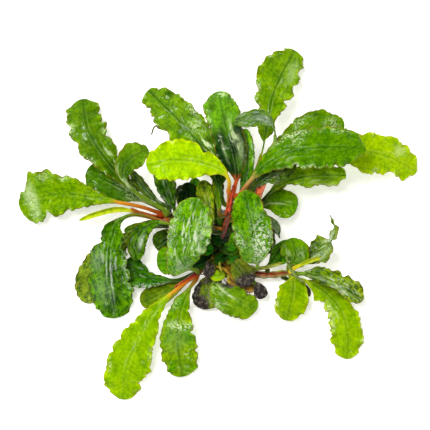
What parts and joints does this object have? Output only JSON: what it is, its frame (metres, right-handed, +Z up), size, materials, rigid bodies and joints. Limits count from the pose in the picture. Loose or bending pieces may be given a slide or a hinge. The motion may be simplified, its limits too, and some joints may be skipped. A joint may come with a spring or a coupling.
{
  "type": "bucephalandra aquarium plant",
  "caption": "Small aquarium plant lying on a flat surface: a creeping rhizome with short shoots and spoon-shaped, ruffled leaves on reddish stalks.",
  "frame": {"origin": "on the surface that the plant lies on, below the middle of its outline", "axes": "+Z up from that surface, +X along the plant's longest spread, +Y along the other spread"},
  "size_m": [0.1601, 0.1404, 0.0331],
  "materials": {
    "young_leaf": "thin young leaf, wet and glossy, bright yellow-green",
    "lime_leaf": "wet glossy leaf, lime green",
    "bright_leaf": "wet glossy leaf, bright green",
    "mid_leaf": "wet glossy leaf, mid green",
    "green_leaf": "wet glossy grown leaf, green",
    "dark_leaf": "wet glossy old leaf, dark green",
    "deep_leaf": "old leaf in the plant's middle, very dark green",
    "olive_leaf": "leaf seen from its matt side, olive green",
    "silver_leaf": "twisted leaf that shows its silver-green underside",
    "algae_leaf": "old leaf covered with brown-black algae",
    "red_stem": "smooth young stem, orange-red",
    "brown_stem": "rhizome, yellow-brown with leaf scars",
    "green_stem": "smooth shoot, yellow-green"
  },
  "bodies": {
    "root": {"main_rhizome": "brown_stem", "west_shoot": "green_stem", "crown_stem": "red_stem", "south_west_shoot": "green_stem", "south_east_shoot": "red_stem", "east_shoot": "green_stem", "west_large_leaf": "bright_leaf", "north_west_long_leaf": "mid_leaf", "west_oval_leaf": "dark_leaf", "north_west_small_leaf": "green_leaf", "west_narrow_leaf": "dark_leaf", "rolled_young_leaf": "young_leaf", "south_west_hanging_leaf": "dark_leaf", "south_west_hidden_leaf": "olive_leaf", "south_west_curved_leaf": "dark_leaf", "west_slender_leaf": "dark_leaf", "shaded_leaf_under_young": "dark_leaf", "centre_left_leaf": "green_leaf", "round_leaf_under_centre": "mid_leaf", "south_west_long_leaf": "lime_leaf", "south_leaf": "green_leaf", "west_low_leaf": "dark_leaf", "olive_low_leaf": "olive_leaf", "algae_leaf_left": "algae_leaf", "inner_shaded_leaf": "deep_leaf", "bud_leaf": "lime_leaf", "round_front_leaf": "mid_leaf", "algae_leaf_right": "algae_leaf", "algae_front_leaf": "algae_leaf", "front_leaf": "green_leaf", "centre_small_leaf_1": "deep_leaf", "centre_small_leaf_2": "dark_leaf", "inner_algae_leaf": "algae_leaf", "inner_dark_leaf": "deep_leaf", "centre_right_leaf": "green_leaf", "south_east_round_leaf": "mid_leaf", "south_east_side_leaf": "dark_leaf", "curled_leaf": "mid_leaf", "south_east_rolled_leaf": "young_leaf", "south_east_dark_leaf": "dark_leaf", "south_east_long_leaf": "lime_leaf", "algae_scrap_leaf": "algae_leaf", "south_east_lime_leaf": "lime_leaf", "leaf_behind_centre_right": "dark_leaf", "pointed_small_leaf": "deep_leaf", "east_lime_leaf": "lime_leaf", "east_dark_leaf": "dark_leaf", "east_oval_leaf": "green_leaf", "young_top_leaf": "young_leaf", "north_north_west_leaf": "mid_leaf", "north_round_leaf": "dark_leaf", "silver_twisted_leaf": "silver_leaf", "north_narrow_leaf": "dark_leaf", "north_north_east_leaf": "bright_leaf", "north_east_back_leaf": "green_leaf", "east_north_east_leaf": "green_leaf", "folded_dark_leaf": "dark_leaf", "inner_narrow_leaf_1": "dark_leaf", "inner_narrow_leaf_2": "green_leaf", "inner_small_leaf": "lime_leaf"}
  },
  "joints": []
}
